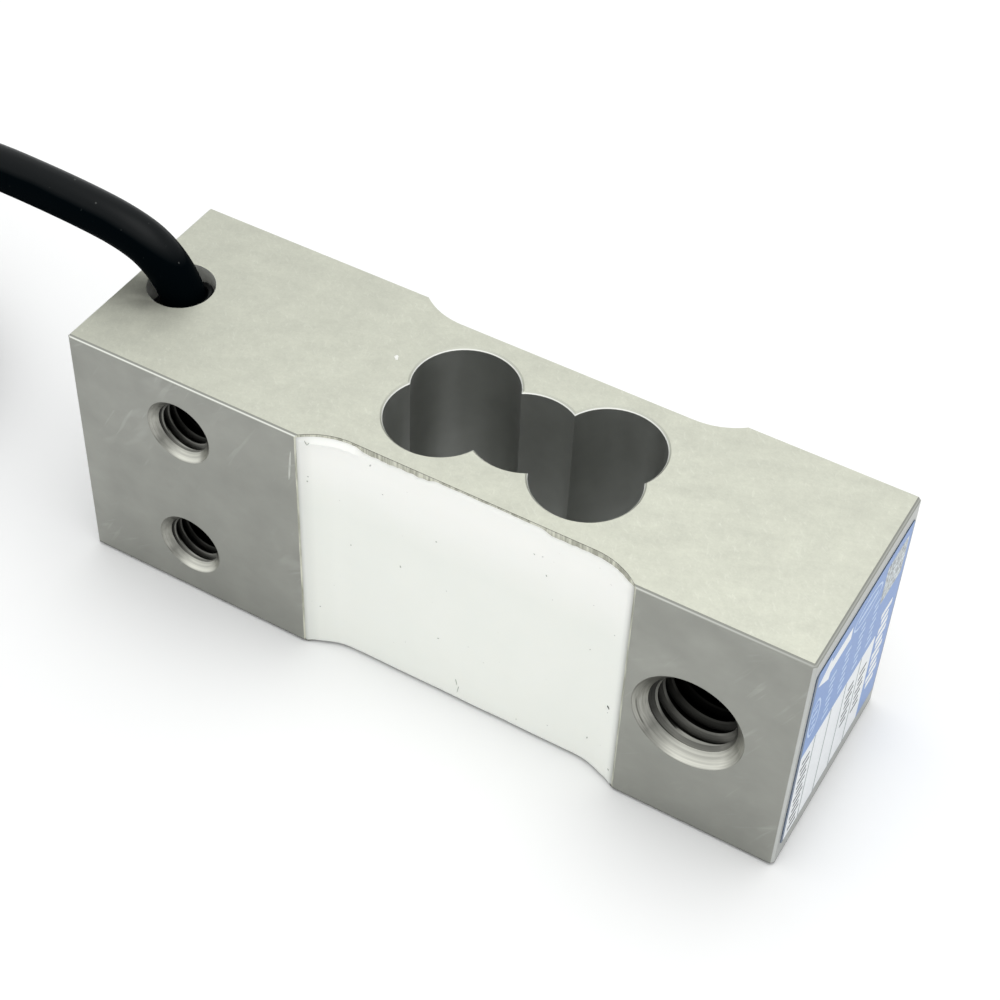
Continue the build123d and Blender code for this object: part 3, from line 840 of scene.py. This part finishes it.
# Marks on the front silicone: x, z, half width and half height in millimetres, lean in degrees and
# material
mark_aim = 1.95 * mm
mark_half_thick = 0.05
skin_marks = (
    (-16.4, 34.3, 0.06, 0.36, 28, grey_mark),
    (-16.05, 34.3, 0.06, 0.36, -28, grey_mark),
    (25.85, 12.35, 0.15, 0.21, 35, dark_mark),
    (25.98, 12.1, 0.09, 0.13, 0, dark_mark),
    (5.0, 3.6, 0.06, 0.6, 12, grey_mark),
    (5.25, 2.3, 0.06, 0.75, -10, grey_mark),
    (-16.40, 27.88, 0.09, 0.12, 20, grey_mark),
    (-3.22, 20.28, 0.09, 0.2, 10, grey_mark),
    (2.25, 10.34, 0.16, 0.08, 20, grey_mark),
    (23.54, 4.87, 0.09, 0.22, -15, grey_mark),
    (1.75, 27.48, 0.12, 0.08, 0, grey_mark),
    (16.45, 30.11, 0.08, 0.14, 30, grey_mark),
    (14.72, 32.75, 0.13, 0.06, -30, grey_mark),
    (-10.32, 20.08, 0.08, 0.12, 0, grey_mark),
    (13.71, 1.93, 0.08, 0.08, 0, grey_mark),
    (26.79, 0.71, 0.12, 0.16, 40, grey_mark),
)
# A pale smear on the front face and two white flecks on the top: place, half sizes and lean
smear = (Vector((-17.45 * mm, front_y, 31.6 * mm)), (0.14, 0.02, 2.6), 5)
flecks = (
    (Vector((-13.8 * mm, 3.0 * mm, top_z)), (0.26, 0.04, 0.34), 20),
    (Vector((-13.6 * mm, 2.7 * mm, top_z)), (0.2, 0.04, 0.16), 0),
)


def flat_mark(bm, turn, place, half_sizes, lean, index):
    """A flat oval on a surface; its thin axis is y before the turn, and it leans about it."""
    tilt = Matrix.Rotation(math.radians(lean), 4, "Y")
    size = Matrix.Diagonal((*(half * mm for half in half_sizes), 1.0))
    before = len(bm.faces)
    matrix = Matrix.Translation(place) @ turn @ tilt @ size
    bmesh.ops.create_icosphere(bm, subdivisions=2, radius=1.0, matrix=matrix)
    paint_from(bm, before, index)


def marks_mesh(bm):
    """Small flat marks: on the front silicone where the camera sees them, and on the block."""
    corners = [vertex.co for vertex in front_skin.data.vertices]
    faces = [polygon.vertices[:] for polygon in front_skin.data.polygons]
    skin_faces = BVHTree.FromPolygons(corners, faces)
    for x, z, half_wide, half_high, lean, index in skin_marks:
        way = Vector((x * mm, front_y + mark_aim, z * mm)) - camera_place
        place, normal = skin_faces.ray_cast(camera_place, way.normalized())[:2]
        if place is None:
            continue
        turn = normal.to_track_quat("Y", "Z").to_matrix().to_4x4()
        flat_mark(bm, turn, place, (half_wide, mark_half_thick, half_high), lean, index)
    flat_mark(bm, Matrix.Identity(4), *smear, smear_mark)
    for fleck in flecks:
        flat_mark(bm, Matrix.Rotation(math.radians(90), 4, "X"), *fleck, white_mark)


make_piece("silicone_marks", marks_mesh, mark_materials)

back_skin = make_piece("back_silicone", sealant_mesh(1, ()), [materials["silicone"]])
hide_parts("back_sealant")


# Rating plate

label_low, label_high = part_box("rating_label")
relief = 0.01 * mm
panel_level = label_high.x - relief
plate_level = label_high.x - 2 * relief
film_level = label_high.x - 3 * relief
border = 0.14 * mm
left_border = 4.2 * border
corner_steps = 4
oval_steps = 36


def closed_solid(bm, outline, levels, index):
    """A solid of this outline between two levels along x, in the plate's material of that index."""
    rings = [[bm.verts.new((x, y, z)) for y, z in outline] for x in levels]
    before = len(bm.faces)
    bridge_rings(bm, rings)
    bm.faces.new(rings[0])
    bm.faces.new(rings[1])
    paint_from(bm, before, index)


def plate_field(bm, y0, y1, z0, z1, x0, x1, corner, index):
    """A thin plate with rounded corners, from x0 to x1."""
    outline = []
    for centre_y, centre_z, start in (
        (y1 - corner, z1 - corner, 0),
        (y0 + corner, z1 - corner, 90),
        (y0 + corner, z0 + corner, 180),
        (y1 - corner, z0 + corner, 270),
    ):
        for i in range(corner_steps + 1):
            angle = math.radians(start + 90 * i / corner_steps)
            y = centre_y + corner * math.cos(angle)
            z = centre_z + corner * math.sin(angle)
            outline.append((y, z))
    closed_solid(bm, outline, (x0, x1), index)


def bar(bm, y0, y1, z0, z1, index, corner=0.1, raised=False):
    """A printed bar on the plate, in millimetres from the part's middle plane and its base."""
    start = panel_level if raised else plate_level
    end = label_high.x if raised else panel_level
    plate_field(bm, y0 * mm, y1 * mm, z0 * mm, z1 * mm, start, end, corner * mm, index)


def outline_field(bm, points, index):
    """A printed field with any outline, given in millimetres."""
    outline = [(y * mm, z * mm) for y, z in points]
    closed_solid(bm, outline, (plate_level, panel_level), index)


def oval_line(bm, centre_y, centre_z, half_y, half_z, width, index):
    """A thin printed oval ring, in millimetres."""
    rings = []
    low, high = plate_level, panel_level
    for x, grow in ((low, 0.0), (high, 0.0), (high, width), (low, width)):
        ring = []
        for angle in full_turn(oval_steps):
            y = centre_y + (half_y - grow) * math.cos(angle)
            z = centre_z + (half_z - grow) * math.sin(angle)
            ring.append(bm.verts.new((x, y * mm, z * mm)))
        rings.append(ring)
    before = len(bm.faces)
    bridge_rings(bm, [*rings, rings[0]])
    paint_from(bm, before, index)


def bar_column(bm, y0, y1, z0, z1, step, height, index, raised=False):
    """Short printed bars one above another, of uneven lengths."""
    count = int((z1 - z0) / step)
    for i in range(count + 1):
        z = z0 + step * i
        short = 0.35 * (y1 - y0) * (0.5 + 0.5 * math.sin(2.3 * i + y0))
        bar(bm, y0 + short * 0.5, y1 - short * 0.5, z, z + height, index, height / 4, raised)


def label_mesh(bm):
    """The blue film with a dark edge, a white panel in five columns, and plain bars for lines."""
    low_y, high_y = label_low.y, label_high.y
    low_z, high_z = label_low.z, label_high.z
    plate_field(bm, low_y, high_y, low_z, high_z, label_low.x, film_level, 0.6 * mm, plate_deep)
    inner = (low_y + left_border, high_y - border, low_z + border, high_z - border)
    plate_field(bm, *inner, film_level, plate_level, 0.5 * mm, plate_blue)
    bar(bm, -13.4, 8.2, 3.5, 19.3, plate_white, 0.3)
    for y in (-9.3, -4.9, -0.45, 3.95):
        bar(bm, y - 0.16, y + 0.16, 3.6, 19.2, plate_line, 0.05, True)
    bar_column(bm, -12.7, -10.0, 4.3, 17.9, 1.15, 0.5, plate_mark, True)
    bar_column(bm, 0.6, 3.2, 9.2, 16.2, 1.15, 0.5, plate_mark, True)
    bar_column(bm, 4.7, 7.1, 8.0, 16.4, 1.2, 0.5, plate_mark, True)
    bar_column(bm, 8.8, 12.3, 7.8, 22.6, 1.5, 1.0, plate_white)
    for y in (-8.4, -4.2, 0.1, 4.2):
        bar_column(bm, y, y + 1.9, 20.8, 27.8, 1.15, 0.5, plate_pale)
    oval_line(bm, -11.75, 25.0, 1.55, 3.2, 0.35, plate_pale)
    bar_column(bm, -12.5, -11.0, 23.0, 26.8, 1.2, 0.45, plate_pale)
    oval_line(bm, 1.3, 31.0, 4.2, 1.8, 0.35, plate_pale)
    bar(bm, -1.6, 4.2, 30.7, 31.3, plate_pale, 0.15)
    arrow_tip = [(-9.6, 33.2), (-12.9, 31.5), (-9.4, 29.3)]
    arrow_shaft = [(-9.2, 30.3), (-3.5, 30.3), (-3.5, 32.3), (-9.4, 32.3)]
    outline_field(bm, arrow_tip + arrow_shaft, plate_white)
    bar(bm, 6.4, 12.8, 26.3, 32.6, plate_grey, 0.3)


label = make_piece("rating_plate", label_mesh, plate_materials, smooth=False)
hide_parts("rating_label")


# Cable

def half_turn(centre_x, start, slot, next_slot):
    """Control points of a half turn seen from above, anticlockwise from the start angle in degrees.

    It passes from one slot's radius and height to the next one's, or stays in its slot.
    """
    step = 180.0 / hank_steps
    points = []
    for i in range(hank_steps):
        share = ease((i + 0.5) / hank_steps)
        radius, height = (here + (there - here) * share for here, there in zip(slot, next_slot))
        reach = radius / math.cos(math.radians(step / 2))
        angle = math.radians(start + step * (i + 0.5))
        x = centre_x + reach * math.cos(angle)
        y = hank_middle + reach * math.sin(angle)
        points.append((x, y, height))
    return points


def hank_points():
    """Control points of the hank, wound from its top strand down to its inner lower one."""
    points = []
    for turn, (slot, next_slot) in enumerate(zip(hank_slots, hank_slots[1:])):
        radius, height = slot
        next_radius, next_height = next_slot
        lane = hank_middle - radius
        next_lane = hank_middle - next_radius
        back = hank_middle + next_radius
        points += half_turn(hank_far, 90, slot, slot)
        if turn == 0:
            points += [(x, lane, height) for x in top_lane]
            points += half_turn(hank_near, 270, slot, next_slot)
        else:
            start, end = hank_shifts[turn - 1]
            points.append((max(start - shift_lead, hank_far + far_lead), lane, height))
            points.append((start, lane, height))
            points.append((end, next_lane, next_height))
            points.append((max(end + shift_lead, hank_near - near_lead), next_lane, next_height))
            points += half_turn(hank_near, 270, next_slot, next_slot)
        points += [(x, back - pull, next_height + pull) for x, pull in back_lane]
    return points + half_turn(hank_far, 90, hank_slots[-1], hank_slots[-1])


def nurbs_curve(name, points, radius):
    """A round cord along a smooth spline with these control points."""
    curve = bpy.data.curves.new(name, "CURVE")
    curve.dimensions = "3D"
    spline = curve.splines.new("NURBS")
    spline.points.add(len(points) - 1)
    for knot, place in zip(spline.points, points):
        knot.co = (*place, 1.0)
    spline.order_u = 3
    spline.use_endpoint_u = True
    curve.resolution_u = 8
    curve.bevel_depth = radius
    curve.bevel_resolution = 7
    curve.use_fill_caps = True
    cord = bpy.data.objects.new(name, curve)
    bpy.context.scene.collection.objects.link(cord)
    return cord


def bore_mesh(bm):
    """A thin skin over the upper wall of the cable's bore, which carries painted light."""
    low, high = top_z - bore_skin_depth, top_z - bore_skin
    inner, outer = cable_bore_radius - bore_skin, cable_bore_radius + 0.1 * mm
    rings = []
    for radius, level in ((inner, low), (inner, high), (outer, high), (outer, low)):
        ring = []
        for angle in full_turn(bore_sides):
            across = cable_bore_x + radius * math.cos(angle)
            ring.append(bm.verts.new((across, radius * math.sin(angle), level)))
        rings.append(ring)
    bridge_rings(bm, [*rings, rings[0]])


def collar_mesh(bm):
    """The collar: a tube that leans with the cable, with a rounded lip."""
    upright = Vector((0, 0, 1))
    stations = [(collar_foot, upright, collar_radius)]
    for i in range(collar_steps + 1):
        angle = collar_turn * i / collar_steps
        back = collar_bend_radius * (1 - math.cos(angle))
        rise = collar_bend_radius * math.sin(angle)
        place = Vector((collar_foot.x - back, 0, collar_bend_from + rise))
        stations.append((place, Vector((-math.sin(angle), 0, math.cos(angle))), collar_radius))
    place, way, radius = stations.pop()
    place = place - way * collar_lip
    for i in range(lip_steps + 1):
        angle = math.radians(90 * i / lip_steps)
        rounded = radius - collar_lip * (1 - math.cos(angle))
        stations.append((place + way * collar_lip * math.sin(angle), way, rounded))
    mouth = cable_radius + collar_gap
    stations.append((place + way * collar_lip * 0.9, way, mouth + 0.2 * mm))
    stations.append((place + way * collar_lip * 0.4, way, mouth))
    stations.append((place - way * 0.6 * mm, way, mouth))
    stations.append((collar_foot, upright, mouth))
    rings = []
    for place, way, radius in stations:
        side = Vector((way.z, 0, -way.x))
        ring = []
        for angle in full_turn(collar_sides):
            across = side * radius * math.cos(angle)
            ring.append(bm.verts.new(place + across + Vector((0, radius * math.sin(angle), 0))))
        rings.append(ring)
    bridge_rings(bm, [*rings, rings[0]])


def tie_mesh(bm):
    """A flat tie round the four lower strands, with its locking head on top."""
    low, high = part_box("hank_tie")
    centre = (low.x + high.x) / 2
    half = (high.x - low.x) / 2
    radii = sorted({radius for radius, height in hank_slots[1:]})
    heights = sorted({height for radius, height in hank_slots[1:]})
    near_y, far_y = (hank_middle + radius - tie_pull for radius in radii)
    low_z, high_z = (height + tie_pull for height in heights)
    bend = cable_radius / mm
    corners = ((far_y, high_z, 0), (near_y, high_z, 90), (near_y, low_z, 180), (far_y, low_z, 270))
    section = (
        (-half, tie_inner),
        (half, tie_inner),
        (half, tie_shoulder),
        (half - tie_bevel, tie_outer),
        (tie_bevel - half, tie_outer),
        (-half, tie_shoulder),
    )
    rings = []
    for across, out in section:
        ring = []
        for y, z, start in corners:
            for i in range(tie_steps + 1):
                angle = math.radians(start + 90 * i / tie_steps)
                round_y = y + (bend + out) * math.cos(angle)
                round_z = z + (bend + out) * math.sin(angle)
                ring.append(bm.verts.new((centre + across, round_y * mm, round_z * mm)))
        rings.append(ring)
    bridge_rings(bm, [*rings, rings[0]])
    head = Vector((half * 1.25, 2.2 * mm, 1.3 * mm))
    place = Vector((centre, (near_y + far_y) / 2 * mm, (high_z + bend) * mm + head.z))
    matrix = Matrix.Translation(place) @ Matrix.Diagonal((*head, 1.0))
    box = bmesh.ops.create_cube(bm, size=2.0, matrix=matrix)
    edges = {edge for vertex in box["verts"] for edge in vertex.link_edges}
    bmesh.ops.bevel(bm, geom=list(edges), offset=head_bevel, segments=2, affect="EDGES")


make_piece("cable_bore_wall", bore_mesh, [lit_bore_lining])
tie = make_piece("cable_tie", tie_mesh, [materials["tie_plastic"]])
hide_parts("hank_tie")
collar = make_piece("collar", collar_mesh, [materials["collar_rubber"]])
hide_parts("cable_sleeve")

route = [Vector(point) * mm for point in cable_points + hank_points() + tail_points]
cable = nurbs_curve("cable_cord", route, cable_radius)
cable.data.materials.append(materials["cable_jacket"])
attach(cable, "root")
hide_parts("cable", "cable_hank", "cable_tail")
on_cable = ["tail_sleeve", "conductor_tips", "drain_wire"]
on_cable += [f"conductor_{name}" for name in ("red", "white", "green", "black")]


# Floor, light and camera

def stage_floor():
    """A wide pale floor just under the level that the block lies on."""
    mesh = bpy.data.meshes.new("floor")
    half = 2.0
    corners = [(-half, -half, 0), (half, -half, 0), (half, half, 0), (-half, half, 0)]
    mesh.from_pydata(corners, [], [(0, 1, 2, 3)])
    floor = bpy.data.objects.new("floor", mesh)
    floor.location.z = -0.02 * mm
    material, tree, shader = new_material("floor_paper", (0.95, 0.95, 0.955), 0.9)
    shader.inputs["Specular IOR Level"].default_value = 0.1
    mesh.materials.append(material)
    bpy.context.scene.collection.objects.link(floor)


def soft_box(name, place, target, size, power):
    """A square area light at a place, facing the target."""
    light = bpy.data.lights.new(name, "AREA")
    light.shape = "SQUARE"
    light.size = size
    light.energy = power
    lamp = bpy.data.objects.new(name, light)
    lamp.location = place
    lamp.rotation_euler = (Vector(target) - Vector(place)).to_track_quat("-Z", "Y").to_euler()
    bpy.context.scene.collection.objects.link(lamp)


def sky_light(low, high):
    """World light that is brighter overhead than at the horizon."""
    world = bpy.data.worlds.new("studio")
    world.use_nodes = True
    bpy.context.scene.world = world
    tree = world.node_tree
    height = parts_of(tree, tree.nodes.new("ShaderNodeTexCoord").outputs["Generated"])[2]
    color = ramp(tree, height, [(0.0, low), (0.9, high)])
    tree.links.new(color, tree.nodes["Background"].inputs["Color"])


def add_camera():
    """The camera, at the photograph's place and turn."""
    lens = bpy.data.cameras.new("camera")
    lens.lens = camera_lens
    lens.sensor_width = camera_sensor
    lens.clip_start = 0.01
    camera = bpy.data.objects.new("camera", lens)
    camera.location = camera_place
    camera.rotation_mode = "QUATERNION"
    roll = Quaternion((0, 0, 1), camera_roll)
    camera.rotation_quaternion = camera_direction.to_track_quat("-Z", "Y") @ roll
    bpy.context.scene.collection.objects.link(camera)
    bpy.context.scene.camera = camera


stage_floor()
sky_light((0.70, 0.71, 0.71), (0.92, 0.93, 0.92))
soft_box("over_box", (0.05, 0.05, 0.85), (0, 0, 0.02), 0.6, 2.4)
add_camera()
bpy.context.scene.view_settings.view_transform = "Standard"
